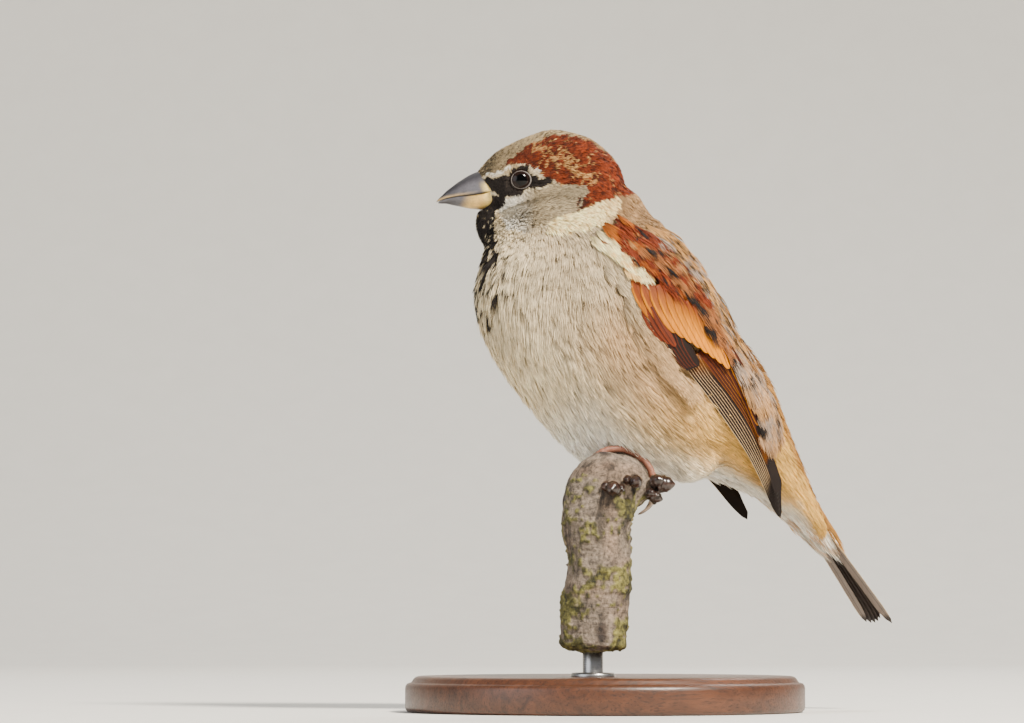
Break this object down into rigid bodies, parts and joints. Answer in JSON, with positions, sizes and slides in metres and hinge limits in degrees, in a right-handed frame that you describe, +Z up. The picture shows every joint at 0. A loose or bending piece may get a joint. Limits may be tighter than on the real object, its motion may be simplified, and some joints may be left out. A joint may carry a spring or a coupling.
{
  "type": "house sparrow",
  "caption": "Male house sparrow, a still model gripping a short cut branch that a rod holds over a round wooden base, wings folded and head turned aside.",
  "frame": {"origin": "centre of the base's underside, on the table", "axes": "+Z up, -X the way the breast faces, -Y the bird's left side"},
  "size_m": [0.13, 0.1, 0.1458],
  "materials": {
    "plumage": "soft contour feathers",
    "flight_feathers": "stiff vanes with a slight sheen",
    "bill": "smooth horn, slightly glossy",
    "eye": "wet gloss",
    "leg_skin": "scaly skin",
    "claw": "smooth horn",
    "bark": "bark with lichen",
    "stand_steel": "brushed",
    "stand_wood": "satin varnish"
  },
  "bodies": {
    "root": {"head": "plumage", "neck": "plumage", "trunk": "plumage", "tail": "flight_feathers", "bill_upper": "bill", "bill_lower": "bill", "wing_left_coverts": "plumage", "wing_left_flight": "flight_feathers", "wing_left_tertials": "flight_feathers", "eye_left": "eye", "thigh_left": "plumage", "foot_left": "leg_skin", "claw_left_hind": "claw", "claw_left_inner": "claw", "claw_left_middle": "claw", "claw_left_outer": "claw", "wing_right_coverts": "plumage", "wing_right_flight": "flight_feathers", "wing_right_tertials": "flight_feathers", "eye_right": "eye", "thigh_right": "plumage", "foot_right": "leg_skin", "claw_right_hind": "claw", "claw_right_inner": "claw", "claw_right_middle": "claw", "claw_right_outer": "claw", "perch_branch": "bark", "stand_rod": "stand_steel", "stand_base": "stand_wood"}
  },
  "joints": []
}
